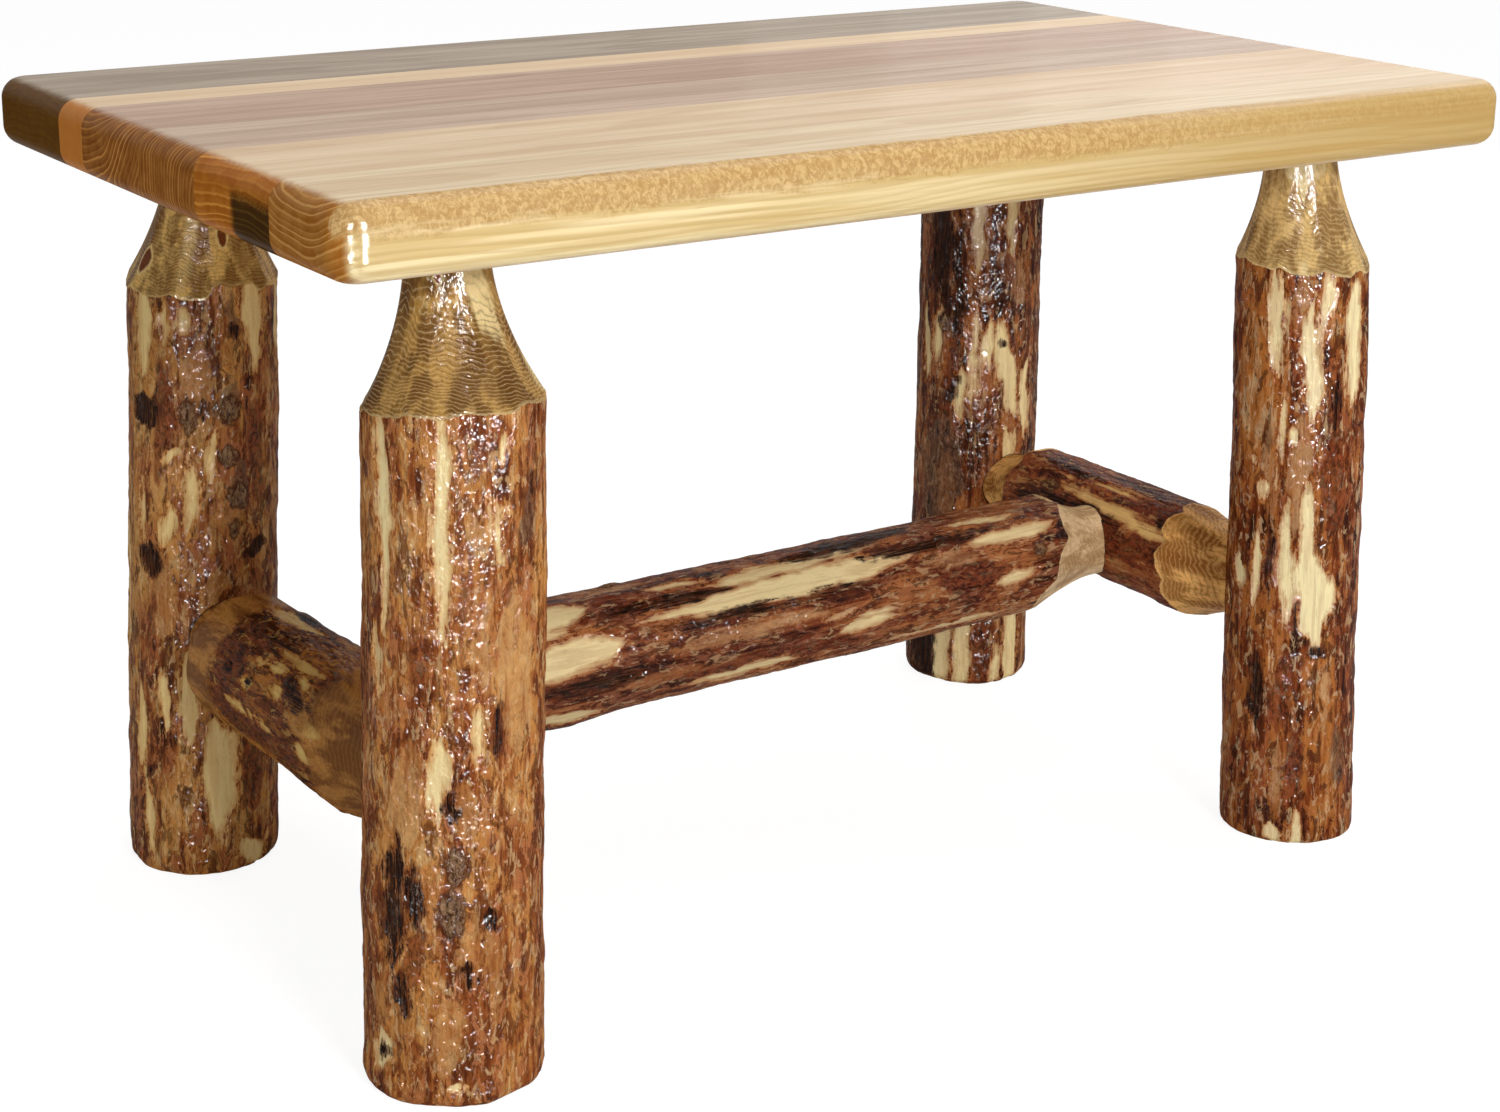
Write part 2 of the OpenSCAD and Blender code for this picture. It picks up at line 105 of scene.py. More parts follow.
# Marks on the bark
# of each kind: height or distance where a mark starts and ends, angle at each of them, width in mm
MARKS = {
    "front_left_leg": {
        "pale": [(226, 345, 236, 235, 8.5), (238, 335, 193, 190, 8.5), (262, 300, 189, 190, 5),
            (305, 321, 274, 274, 7.5), (143, 190, 232, 234, 8.5), (152, 164, 272, 272, 4.5),
            (7, 15, 243, 243, 8), (11, 34, 190, 190, 10), (200, 226, 186, 184, 5), (176, 200, 258, 258, 4),
            (262, 300, 273, 271, 5)],
        "tan": [(128, 178, 211, 211, 22), (168, 250, 284, 282, 24), (60, 100, 250, 256, 12),
            (268, 290, 258, 258, 12), (20, 60, 236, 238, 16), (128, 168, 252, 250, 14),
            # the last tan mark lies on the shaved taper: a painted highlight on its upper right
            (36, 100, 266, 268, 10), (196, 262, 262, 262, 10), (350, 420, 300, 262, 30)],
        "black": [(174, 200, 269, 270, 3.5), (70, 130, 199, 201, 12), (90, 122, 215, 213, 8),
            (42, 68, 211, 208, 7), (294, 307, 300, 299, 5), (145, 156, 241, 241, 4.6),
            (86, 95, 267, 267, 5.5), (62, 73, 251, 251, 3.6), (18, 27, 191, 190, 3.5)],
        "grey": [(264, 300, 292, 294, 13), (114, 131, 243, 243, 8)],
        "red": [(170, 204, 269, 270, 9), (200, 240, 214, 218, 12), (205, 300, 247, 248, 4),
            (237, 252, 279, 279, 6), (82, 116, 238, 240, 13), (60, 90, 212, 220, 12),
            # the last red mark darkens the left side of the shaved taper: painted shade
            (334, 368, 280, 274, 20), (326, 410, 172, 172, 26)],
        "knot": [(113, 131, 243, 243, 10), (86, 110, 240, 241, 11), (384, 393, 230, 230, 7)],
    },
    "back_left_leg": {
        "pale": [(280, 335, 201, 200, 11), (300, 322, 220, 220, 5), (303, 319, 235, 235, 7),
            (283, 342, 289, 289, 15), (234, 244, 221, 222, 9), (190, 212, 221, 222, 9),
            (225, 249, 254, 256, 5), (80, 120, 217, 217, 7), (78, 136, 238, 238, 14),
            (20, 92, 259, 258, 18), (4, 20, 285, 287, 18), (60, 104, 194, 192, 7), (15, 62, 203, 198, 5),
            (190, 215, 193, 195, 6), (196, 236, 236, 238, 6)],
        "tan": [(185, 208, 271, 272, 12), (155, 170, 256, 256, 20), (130, 190, 215, 216, 14),
            (210, 250, 212, 214, 12), (236, 300, 240, 244, 20), (330, 390, 232, 238, 12)],
        "black": [(252, 274, 197, 201, 20), (173, 191, 206, 205, 14), (177, 187, 290, 288, 16),
            (262, 272, 247, 247, 4), (300, 308, 270, 270, 7), (60, 66, 205, 205, 5)],
        "grey": [(253, 277, 262, 269, 18), (204, 229, 275, 275, 12), (300, 324, 269, 271, 9)],
        "red": [(208, 264, 292, 292, 12), (33, 72, 281, 285, 24), (120, 165, 205, 205, 9),
            # the red mark from 324 to 400 darkens the left side of the shaved taper: painted shade
            (220, 300, 214, 218, 12), (324, 400, 180, 170, 24), (330, 372, 285, 290, 18)],
        "knot": [(192, 202, 271, 271, 5), (254, 270, 268, 268, 9), (208, 222, 274, 274, 9),
            (251, 271, 237, 236, 8), (231, 243, 266, 266, 9), (347, 359, 268, 268, 8),
            (332, 346, 186, 186, 9)],
    },
    "front_right_leg": {
        "pale": [(268, 330, 204, 201, 8), (294, 326, 211, 210, 4.5), (246, 316, 238, 235, 9),
            (296, 334, 246, 247, 6.5), (250, 330, 282, 279, 13), (260, 280, 269, 268, 4.5),
            (230, 244, 221, 220, 6), (150, 216, 240, 238, 8), (118, 182, 248, 238, 22),
            (130, 160, 258, 262, 9), (133, 202, 221, 219, 8), (140, 180, 190, 192, 5.5),
            (148, 166, 172, 168, 10), (126, 147, 154, 149, 8), (210, 260, 207, 212, 4),
            (-8, 21, 234, 233, 8), (-6, 11, 212, 211, 9), (217, 226, 184, 184, 3.4),
            (198, 212, 196, 195, 5), (60, 74, 193, 194, 3), (100, 120, 208, 206, 3)],
        "tan": [(4, 62, 214, 216, 8), (246, 268, 237, 238, 8), (300, 330, 224, 224, 12),
            (80, 110, 262, 256, 9), (372, 440, 228, 228, 60), (176, 262, 226, 229, 14),
            (186, 250, 203, 201, 12)],
        "black": [(70, 109, 196, 193, 8.5), (243, 272, 259, 258, 4.5), (150, 190, 203, 203, 3),
            (112, 120, 250, 250, 6)],
        "grey": [(230, 252, 199, 198, 5), (30, 70, 275, 275, 12)],
        "red": [(64, 120, 216, 222, 12), (180, 245, 262, 258, 16), (30, 66, 232, 230, 12)],
    },
    "back_right_leg": {
        "pale": [(278, 335, 228, 229, 8), (286, 332, 261, 258, 7.5), (214, 251, 187, 192, 9),
            (198, 250, 173, 171, 8), (192, 254, 228, 229, 8), (184, 247, 270, 250, 15),
            (208, 246, 243, 241, 10), (160, 226, 282, 287, 9), (182, 210, 217, 217, 8),
            (156, 178, 264, 262, 8), (-20, 66, 205, 206, 13), (-20, 62, 226, 226, 11),
            (-10, 26, 259, 260, 8), (-20, 62, 278, 278, 15)],
        "tan": [(250, 290, 268, 268, 14)],
        "black": [(-20, 64, 184, 183, 20), (248, 330, 196, 186, 14), (225, 233, 257, 257, 5.5),
            (237, 246, 198, 198, 5), (192, 201, 209, 209, 4.6), (226, 300, 212, 210, 6)],
        "grey": [(90, 186, 196, 200, 34)],
        "red": [(-20, 62, 244, 244, 14), (150, 240, 205, 208, 12)],
        "knot": [(236, 247, 198, 198, 7)],
    },
    "left_end_stretcher": {
        "pale": [(126, 138, 250, 246, 8), (131, 162, 223, 222, 6), (147, 188, 208, 207, 5),
            (172, 194, 219, 222, 6), (155, 168, 239, 241, 5), (115, 141, 270, 272, 6),
            (143, 149, 269, 270, 4), (151, 166, 268, 273, 5), (194, 216, 266, 273, 9)],
        "tan": [(176, 212, 240, 250, 15)],
        "black": [(129, 135, 245, 245, 4), (109, 117, 227, 229, 5), (103, 110, 243, 243, 4.5),
            (168, 192, 232, 236, 6)],
        "red": [(190, 214, 206, 210, 12), (96, 128, 205, 210, 12), (88, 128, 235, 240, 26),
            (70, 205, 279, 284, 26)],
    },
    "right_end_stretcher": {
        "pale": [(112, 236, 221, 242, 9), (132, 184, 205, 202, 4.5), (108, 122, 210, 212, 3)],
        "tan": [(97, 119, 230, 228, 9)],
        "black": [(112, 170, 238, 244, 4), (80, 130, 252, 258, 12), (204, 212, 222, 224, 4)],
        "red": [(140, 210, 262, 266, 18), (150, 230, 208, 212, 12), (186, 240, 254, 258, 16)],
        "knot": [(100, 116, 230, 228, 7)],
    },
    "long_stretcher": {
        "pale": [(182, 364, 231, 222, 16), (214, 334, 207, 203, 10), (84, 168, 256, 243, 18),
            (92, 152, 208, 202, 22), (187, 224, 196, 196, 5), (406, 447, 269, 262, 6.5),
            (400, 466, 225, 224, 9.5), (393, 437, 199, 202, 5.5), (300, 340, 286, 278, 8),
            (312, 338, 274, 272, 5), (96, 152, 312, 318, 11), (287, 309, 266, 264, 3.5),
            (198, 280, 308, 305, 8), (340, 430, 312, 308, 6), (90, 130, 226, 224, 8)],
        "tan": [(180, 290, 262, 258, 10), (360, 410, 236, 238, 9), (150, 240, 290, 290, 9)],
        "black": [(280, 372, 196, 184, 11), (160, 236, 216, 214, 5), (340, 410, 216, 216, 5),
            (196, 300, 243, 240, 3), (110, 190, 276, 276, 6)],
        "red": [(372, 420, 250, 250, 10), (360, 430, 256, 262, 18), (200, 330, 296, 300, 14)],
        "knot": [(440, 450, 246, 246, 8)],
    },
}
# flats planed along the bark: start, end, angle, width, in the same measures
PLANED = {
    "front_left_leg": [(268, 400, 258, 14), (140, 262, 283, 20), (-10, 140, 283, 18)],
    "back_left_leg": [(275, 400, 289, 16), (190, 270, 292, 14)],
    "front_right_leg": [(240, 400, 281, 14), (110, 190, 248, 18)],
    "back_right_leg": [(170, 260, 258, 18)],
    "long_stretcher": [(170, 380, 226, 14), (60, 480, 180, 16)],
    "left_end_stretcher": [(60, 220, 276, 16)],
    "right_end_stretcher": [(60, 200, 180, 14)],
}
# turns that the photograph doesn't show, and what is drawn there: kind, how many, lengths, widths
HIDDEN = {"front_left_leg": (-30, 155), "back_left_leg": (-45, 165), "front_right_leg": (-40, 140),
          "back_right_leg": (-50, 150), "left_end_stretcher": (-20, 170), "right_end_stretcher": (-30, 160),
          "long_stretcher": (-20, 170)}
DRAWN = (("pale", 15, (18, 80), (4, 13)), ("tan", 7, (25, 70), (8, 20)), ("black", 9, (8, 45), (3, 9)),
         ("red", 5, (30, 80), (10, 22)), ("grey", 2, (20, 50), (8, 14)), ("knot", 2, (9, 16), (6, 9)))
RIM_SEEDS = {"tan": 116, "black": 107, "grey": 103, "red": 114}


# Shapes
def cosd(a):
    return np.cos(np.radians(a))


def sind(a):
    return np.sin(np.radians(a))


def smooth(x, low=0.0, high=1.0):
    t = np.clip((x - low) / (high - low), 0, 1)
    return t * t * (3 - 2 * t)


def field(seed, turn, s, cells, length):
    """Smooth random field on a log from -1 to 1: cells round it, length mm along it."""
    rng = np.random.default_rng(seed)
    y = (s - s.min()) / length
    grid = rng.random((cells, int(y.max()) + 3)) * 2 - 1
    x = turn * cells
    i, j = np.floor(x).astype(int), np.floor(y).astype(int)
    fx, fy = smooth(x - i), smooth(y - j)
    low, high = i % cells, (i + 1) % cells
    near = grid[low, j] * (1 - fx) + grid[high, j] * fx
    far = grid[low, j + 1] * (1 - fx) + grid[high, j + 1] * fx
    return near * (1 - fy) + far * fy


def bark_r(r, a, u, phase):
    """Radius of a log at turn a and share u of its length, with its low waves."""
    return (r + OVAL * cosd(2 * a + phase + 60 * u) + LOBE * cosd(3 * a - 2 * phase + 140 * u)
            + WAVE * sind(450 * u + 3 * phase + a))


def off_flat(a, phase):
    """Turn from the middle of the nearest drawknife cut."""
    return (a + phase) % FLAT_W - FLAT_W / 2


def cut_r(r, neck, t, a, phase, flare):
    """Radius of a shaved taper at share t of the way from its start to the neck."""
    over = r / cosd(FLAT_W / 2)
    flat = cosd(FLAT_W / 2) / cosd(off_flat(a, phase))
    return (neck + (over - neck) * np.maximum(0, 1 - t) ** flare) * (1 - (1 - flat) * (1 - t))


def scallop(r, neck, a, phase, flare):
    """Share of a taper that the bark still covers, most of it between two cuts."""
    over = r / cosd(FLAT_W / 2)
    return (1 - cosd(off_flat(a, phase))) * over / (flare * (over - neck))


def marks_of(name, length):
    """The listed marks, and drawn ones for the sides that the photograph doesn't show."""
    rng = np.random.default_rng(sum(map(ord, name)))
    marks = [(kind, *mark) for kind, rows in MARKS[name].items() for mark in rows]
    low, high = HIDDEN[name]
    for kind, count, run, wide in DRAWN:
        for _ in range(count):
            s, a = rng.uniform(0, length), rng.uniform(low, high)
            n, w = rng.uniform(*run), rng.uniform(*wide)
            marks.append((kind, s - n / 2, s + n / 2, a, a + rng.uniform(-4, 4), w))
    return marks


def inside(marks, kind, r, a, s):
    """Distance in mm inside the nearest mark of a kind, below zero outside."""
    best = np.full(a.shape, -REACH)
    for k, s0, s1, a0, a1, w in marks:
        if k != kind:
            continue
        t = (s - s0) / (s1 - s0)
        away = np.radians((a - (a0 + (a1 - a0) * t) + 180) % 360 - 180) * r
        best = np.maximum(best, w / 2 * (1 - np.abs(2 * t - 1) ** 2.2) - np.abs(away))
    return np.clip(best, -REACH, REACH)


def relief(name, seed, r, a, s, length):
    """Height of the bark over the plain log, and the fields its look is painted from."""
    turn, marks = (a % 360) / 360, marks_of(name, length)
    # the rims of the marks wander
    s_off = s + 6 * field(seed + 30, turn, s, 22, 26) + 3 * field(seed + 31, turn, s, 60, 9)
    a_off = a + 2.6 * field(seed + 32, turn, s, 14, 16) + 1.6 * field(seed + 33, turn, s, 40, 8)
    f = {kind: inside(marks, kind, r, a_off, s_off) for kind in ("pale", *RIM_SEEDS)}
    f["knot"] = inside(marks, "knot", r, a, s)
    f["pale"] = f["pale"] + field(seed, turn, s, 34, 10) + 0.7 * field(seed + 1, turn, s, 90, 4)
    for kind, n in RIM_SEEDS.items():
        f[kind] = f[kind] + 1.2 * field(seed + n, turn, s, 30, 9) + 0.8 * field(seed + 2 + n, turn, s, 80, 4)
    peeled = smooth(f["pale"], -0.6, 0.5)
    lumps = 0.5 * field(seed + 3, turn, s, 11, 30) + 0.32 * field(seed + 4, turn, s, 26, 16)
    ridges = 0.2 * field(seed + 5, turn, s, 60, 26) + 0.22 * field(seed + 6, turn, s, 54, 6)
    ridges = ridges + 0.14 * field(seed + 36, turn, s, 90, 4)
    plates = field(seed + 7, a_off % 360 / 360, s_off, 20, 24) + 0.5 * field(seed + 8, turn, s, 60, 8)
    plates = 0.3 * smooth(plates, -0.15, 0.15)
    h = (lumps + ridges + plates) * (1 - 0.85 * peeled) - 0.75 * peeled
    h += 0.5 * smooth(f["grey"], -0.5, 1) * field(seed + 9, turn, s, 60, 5)
    h -= 0.7 * smooth(f["black"], -0.4, 1.2) * (1 - smooth(f["grey"], -1, 0))
    f["knot"] = f["knot"] + 0.9 * field(seed + 34, turn, s, 60, 5) + 0.5 * field(seed + 35, turn, s, 110, 3)
    knot = smooth(f["knot"], -1.5, 2.2)
    h += knot * (1.1 - 0.3 * (1 - np.cos(f["knot"] * 2.2))) + 0.5 * knot * field(seed + 10, turn, s, 70, 5)
    f["plate"] = plates
    return h - 0.25, f


def mesh_piece(name, points, caps, attributes, grain):
    """A closed skin over rings of points (rings, sides, 3), with its point attributes."""
    rings, sides = points.shape[:2]
    co = np.concatenate([points.reshape(-1, 3), caps]) * MM
    i, j = np.meshgrid(np.arange(rings - 1), np.arange(sides), indexing="ij")
    k = (j + 1) % sides
    low, high = i * sides, (i + 1) * sides
    quads = np.stack([low + j, low + k, high + k, high + j], -1).reshape(-1, 4)
    j = np.arange(sides)
    k = (j + 1) % sides
    foot = np.stack([np.full(sides, rings * sides), k, j], -1)
    head = np.stack([np.full(sides, rings * sides + 1), (rings - 1) * sides + j, (rings - 1) * sides + k], -1)
    mesh = bpy.data.meshes.new(name + "_look")
    mesh.vertices.add(len(co))
    mesh.vertices.foreach_set("co", co.ravel())
    loops = np.concatenate([quads.ravel(), foot.ravel(), head.ravel()])
    sizes = np.concatenate([np.full(len(quads), 4), np.full(2 * sides, 3)])
    mesh.loops.add(len(loops))
    mesh.loops.foreach_set("vertex_index", loops)
    mesh.polygons.add(len(sizes))
    mesh.polygons.foreach_set("loop_start", np.concatenate([[0], np.cumsum(sizes)[:-1]]))
    mesh.update(calc_edges=True)
    mesh.validate()
    mesh.shade_smooth()
    for key, value in attributes.items():
        layer = mesh.attributes.new(key, "FLOAT", "POINT")
        values = np.concatenate([value.ravel(), value[0, :1], value[-1, :1]])
        layer.data.foreach_set("value", values.astype(np.float32))
    layer = mesh.attributes.new("grain", "FLOAT_VECTOR", "POINT")
    ends = np.array([[0, 0, grain[0, 0, 2]], [0, 0, grain[-1, 0, 2]]])
    layer.data.foreach_set("vector", np.concatenate([grain.reshape(-1, 3), ends]).astype(np.float32).ravel())
    piece = bpy.data.objects.new(name + "_look", mesh)
    bpy.context.scene.collection.objects.link(piece)
    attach(piece, "root")
    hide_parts(name)
    return piece


def pack_fields(f, cone, pith, seam):
    return {**f, "shave": np.clip(cone, -20, 99), "pith": pith, "seam": seam}


def between_places(x, low, high):
    """1 from low to high, fading to 0 on both sides."""
    return smooth(x, low - RUN_OUT, low + RUN_OUT) * (1 - smooth(x, high - RUN_OUT, high + RUN_OUT))


def planed(name, q, r, a, s):
    """Radius q after the flats planed along the bark of a log of radius r."""
    mid, side, off = r - PLANE_DEPTH, 60, 1e3
    for s0, s1, at, w in PLANED[name]:
        away = np.abs((a - at + 180) % 360 - 180)
        half = np.degrees(w / 2 / mid)
        chord = mid * cosd(half) / cosd(np.minimum(away, side))
        here = between_places(s, s0, s1)
        q = np.where(away < side, np.minimum(q, chord * here + (1 - here) * off), q)
    return q


def lipped(q, cone):
    """Radius q with the raised rim that a shaved taper has where it leaves the bark."""
    return np.where((cone > 1e-6) & (cone < LIP_W), q + (LIP - LIP_SLOPE * cone), q)


def seam_round(points, mid, to, end):
    """Distance outside the neck of the stretcher end that enters at mid."""
    w = (to - mid) / np.linalg.norm(to - mid)
    rel = points - mid - np.array([0, 0, end["rise"]])
    along = rel @ w
    seam = np.linalg.norm(rel - along[..., None] * w, axis=-1) - end["neck"]
    return np.where(along > 0, np.clip(seam, -2, REACH), REACH)


def leg_piece(name, seed, slot, mate):
    """A leg. mate is the line and end of the stretcher that enters it."""
    leg = LEGS[name]
    sides = int(math.pi * leg["d"] / STEP)
    a = np.arange(sides)[None, :] * 360 / sides
    taper = leg["taper"] + leg["tilt"][0] * cosd(a) + leg["tilt"][1] * sind(a)
    shoulder = UNDER - taper
    wander = 0.9 * field(seed + 20, a / 360, a * 0, 9, 1) + 0.7 * field(seed + 21, a / 360, a * 0, 40, 1)
    bark_z = shoulder + LEG_SCALLOP * taper * scallop(leg["d"] / 2, LEG_NECK, a, leg["phase"], LEG_FLARE)
    for low, high, rise in leg.get("steps", ()):
        wander = wander + rise * between_places(a, low, high)
    bark_z = np.minimum(bark_z + wander, UNDER - BARE_L)
    n0, n1 = int(bark_z.max() / STEP), int(leg["taper"] / STEP)
    eased = leg.get("edge", FOOT_R)
    foot = eased * (1 - cosd(np.linspace(0, 90, FOOT_RINGS + 1)))[:-1, None] + a * 0
    z = np.concatenate([foot, eased + (bark_z - eased) * np.linspace(0, 1, n0)[:, None],
                        bark_z + (UNDER - bark_z) * np.linspace(0, 1, n1 + 1)[1:, None]])
    a = a + z * 0
    r = leg["d"] / 2 - THINNING * (z - SEAT / 2) / 1000
    t = np.maximum(0, (z - shoulder) / taper)
    sunk = eased - np.minimum(eased, z)
    h, f = relief(name, seed, r, a, z, UNDER)
    plain = bark_r(r, a, z / UNDER, leg["phase"])
    bark = planed(name, plain + h, r, a, z)
    cone = z - bark_z
    worn = 0.85 + 0.3 * field(seed + 22, a / 360, z, 9, 50)
    bark = bark - (eased - np.sqrt(eased ** 2 - sunk ** 2)) * worn
    cut = cut_r(r, LEG_NECK, t, a, leg["phase"], LEG_FLARE)
    q = lipped(np.where(cone > 1e-6, np.minimum(cut, plain), bark), cone)
    t = t * (cone > 0)
    dx, dy = leg["off"]
    points = leg_at(name, z) + np.stack([q * cosd(a) + dx * t, q * sind(a) + dy * t, 0 * z], -1)
    seam = seam_round(points, *mate)
    neck = leg_at(name, UNDER) + [dx, dy, 0]
    ring = np.stack([LEG_TENON * cosd(a[0]), LEG_TENON * sind(a[0]), 0 * a[0]], -1) + neck
    points = np.concatenate([points, ring[None], ring[None] + [0, 0, TENON_L]])
    core = LEG_NECK + (leg["d"] / 2 - LEG_NECK) * np.maximum(0, 1 - t) ** LEG_FLARE
    core = 0.7 * core + 0.3 * q
    pith = np.hypot(core * cosd(a) - 2, core * sind(a) + 1)
    grain = np.stack([q * cosd(a), q * sind(a), z], -1)

    def more(x):
        return np.concatenate([x, x[-1:], x[-1:]])

    fields = {k: more(v) for k, v in pack_fields(f, cone, pith, seam).items()}
    caps = np.array([leg_at(name, 0), neck + [0, 0, TENON_L]])
    return mesh_piece(name, points, caps, fields, more(grain))


def rail_piece(name, seed, slot, mate):
    """A stretcher with its two shaved ends. mate is the line and end of a stretcher that enters it."""
    rail = RAILS[name]
    a_end, b_end, e0, e1 = rail["a"], rail["b"], rail["e0"], rail["e1"]
    length = np.linalg.norm(b_end - a_end)
    sides = int(math.pi * rail["d"][1] / STEP)
    a = np.arange(sides)[None, :] * 360 / sides
    l0, l1 = [e["taper"] - e["slant"] * cosd(a) for e in (e0, e1)]
    z0, z1 = e0["host"], length - e1["host"]
    d0, d1 = rail["d"]
    phase = rail["phase"]
    ragged = 1.4 * field(seed + 20, a / 360, a * 0, 8, 1) + 0.8 * field(seed + 21, a / 360, a * 0, 40, 1)
    bark0 = z0 + l0 * (1 - scallop(d0 / 2, e0["neck"], a, phase, RAIL_FLARE)) + ragged + rail.get("bare", 0)
    bark1 = z1 - l1 * (1 - scallop(d1 / 2, e1["neck"], a, phase, RAIL_FLARE)) + np.roll(ragged, sides // 3, 1)
    s0, s1 = [e["host"] * math.sqrt(1 - ((e["neck"] + SEAT_GAP) / e["host"]) ** 2) - SEAT_DEPTH
              for e in (e0, e1)]
    c0, cb, c1 = [int(x / STEP) for x in (e0["taper"] + 12, bark1.max() - bark0.min(), e1["taper"] + 12)]
    z = np.concatenate([s0 + (bark0 - s0) * np.linspace(0, 1, c0)[:-1, None],
                        bark0 + (bark1 - bark0) * np.linspace(0, 1, cb)[:, None],
                        bark1 + (length - s1 - bark1) * np.linspace(0, 1, c1)[1:, None]])
    a = a + z * 0
    u = (z - z0) / (z1 - z0)
    t0, t1 = np.clip(1 - (z - z0) / l0, 0, 1), np.clip(1 - (z1 - z) / l1, 0, 1)
    r = (d0 + (d1 - d0) * u) / 2
    h, f = relief(name, seed, r, a, z, length)
    knuckle = rail.get("swell", 0) * np.exp(-((z - SWELL_AT) / SWELL_W) ** 2) * np.maximum(0, cosd(a)) ** 2
    plain = bark_r(r, a, u, phase) + knuckle
    bark = planed(name, plain + h, r, a, z)
    cut0 = cut_r(r, e0["neck"], t0, a, phase, RAIL_FLARE)
    cut1 = cut_r(r, e1["neck"], t1, a, phase, RAIL_FLARE)
    cone = np.maximum(bark0 - z, z - bark1)
    q = np.where(z > bark1 + 1e-6, np.minimum(plain, cut1), bark)
    q = np.where(z < bark0 - 1e-6, np.minimum(plain, cut0), q)
    q = lipped(q, cone)
    axis = (b_end - a_end) / length
    azimuth, polar = math.atan2(axis[1], axis[0]), math.acos(axis[2])
    east, north, level = math.cos(azimuth), math.sin(azimuth), math.cos(polar)
    down = np.array([level * east, level * north, -math.sin(polar)])
    side = np.array([-north, east, 0])
    x, y = q * cosd(a) - e0["rise"] * t0 - e1["rise"] * t1, q * sind(a)
    points = a_end + x[..., None] * down + y[..., None] * side + z[..., None] * axis
    seam = seam_round(points, *mate) if mate else np.full(z.shape, REACH)
    pith = np.hypot(q * cosd(a) + 2, q * sind(a) - 3)
    grain = np.stack([q * cosd(a), q * sind(a), z], -1)
    caps = np.array([points[0].mean(0), points[-1].mean(0)])
    return mesh_piece(name, points, caps, pack_fields(f, cone, pith, seam), grain)


# Materials
def rgb(r, g, b):
    """A colour as it looks on a screen, from 0 to 255, as the linear one that shading needs."""
    return tuple(((c / 255 + 0.055) / 1.055) ** 2.4 if c > 10 else c / 255 / 12.92 for c in (r, g, b)) + (1,)


class Graph:
    """The nodes of a material or a world."""
    def __init__(self, owner):
        self.owner = owner
        owner.use_nodes = True
        self.tree = owner.node_tree
        self.tree.nodes.clear()

    def node(self, kind, inputs, out=0, **settings):
        made = self.tree.nodes.new(kind)
        for key, value in settings.items():
            setattr(made, key, value)
        for key, value in inputs.items():
            if isinstance(value, bpy.types.NodeSocket):
                self.tree.links.new(value, made.inputs[key])
            else:
                made.inputs[key].default_value = value
        return made.outputs[out] if made.outputs else made

    def math(self, operation, a, b=0.0, c=0.0):
        return self.node("ShaderNodeMath", {0: a, 1: b, 2: c}, operation=operation)

    def add(self, a, b):
        return self.math("ADD", a, b)

    def times(self, a, b):
        return self.math("MULTIPLY", a, b)

    def attribute(self, name, out="Fac"):
        return self.node("ShaderNodeAttribute", {}, out, attribute_name=name)

    def split(self, vector):
        return self.node("ShaderNodeSeparateXYZ", {0: vector}).node.outputs

    def vector(self, operation, a, b=(0, 0, 0), out=0):
        return self.node("ShaderNodeVectorMath", {0: a, 1: b}, out, operation=operation)

    def scaled(self, vector, x, y, z):
        return self.vector("MULTIPLY", vector, (x, y, z))

    def noise(self, vector, detail, rough, warp=0.0, out=0):
        return self.node("ShaderNodeTexNoise", {
            "Vector": vector, "Scale": 1.0, "Detail": detail, "Roughness": rough, "Distortion": warp}, out)

    def step(self, value, low, high, to_low=0.0, to_high=1.0):
        return self.node("ShaderNodeMapRange", {0: value, 1: low, 2: high, 3: to_low, 4: to_high},
                         interpolation_type="SMOOTHSTEP")

    def mix(self, share, a, b):
        return self.node("ShaderNodeMix", {0: share, 6: a, 7: b}, 2, data_type="RGBA")

    def ramp(self, value, stops):
        made = self.node("ShaderNodeValToRGB", {0: value}).node
        band = made.color_ramp.elements
        while len(band) < len(stops):
            band.new(0.5)
        for stop, (place, colour) in zip(band, stops):
            stop.position, stop.color = place, colour
        return made.outputs[0]

    def centred(self, noise, gain):
        """A noise from -gain / 2 to gain / 2."""
        return self.math("MULTIPLY_ADD", noise, gain, -gain / 2)

    def bump(self, height, distance):
        return self.node("ShaderNodeBump", {"Height": height, "Distance": distance})

    def lacquer(self, colour, normal, coat, coat_rough, coat_normal):
        """Dull wood under a thin clear coat."""
        shader = self.node("ShaderNodeBsdfPrincipled", {
            "Base Color": colour, "Roughness": 0.5, "Normal": normal, "Specular IOR Level": 0.0,
            "Coat Weight": coat, "Coat Roughness": coat_rough, "Coat IOR": 1.38, "Coat Normal": coat_normal})
        self.node("ShaderNodeOutputMaterial", {"Surface": shader})
        return self.owner


def between(a, b, share):
    """The colour a share of the way from a to b."""
    return tuple(x + (y - x) * share for x, y in zip(a, b))


COAT = 0.2  # weight of the lacquer
# tone lifts the bark, rings shows the growth rings of the shaved ends, most of them across ring_zone in
# mm from the bark, soft blurs the bark's edge, ragged tears the pale patches, wet swells the lacquer
USUAL = dict(tone=0.0, rings=1.0, ring_zone=(58, 22), soft=0.25, ragged=1.0, wet=1.0)


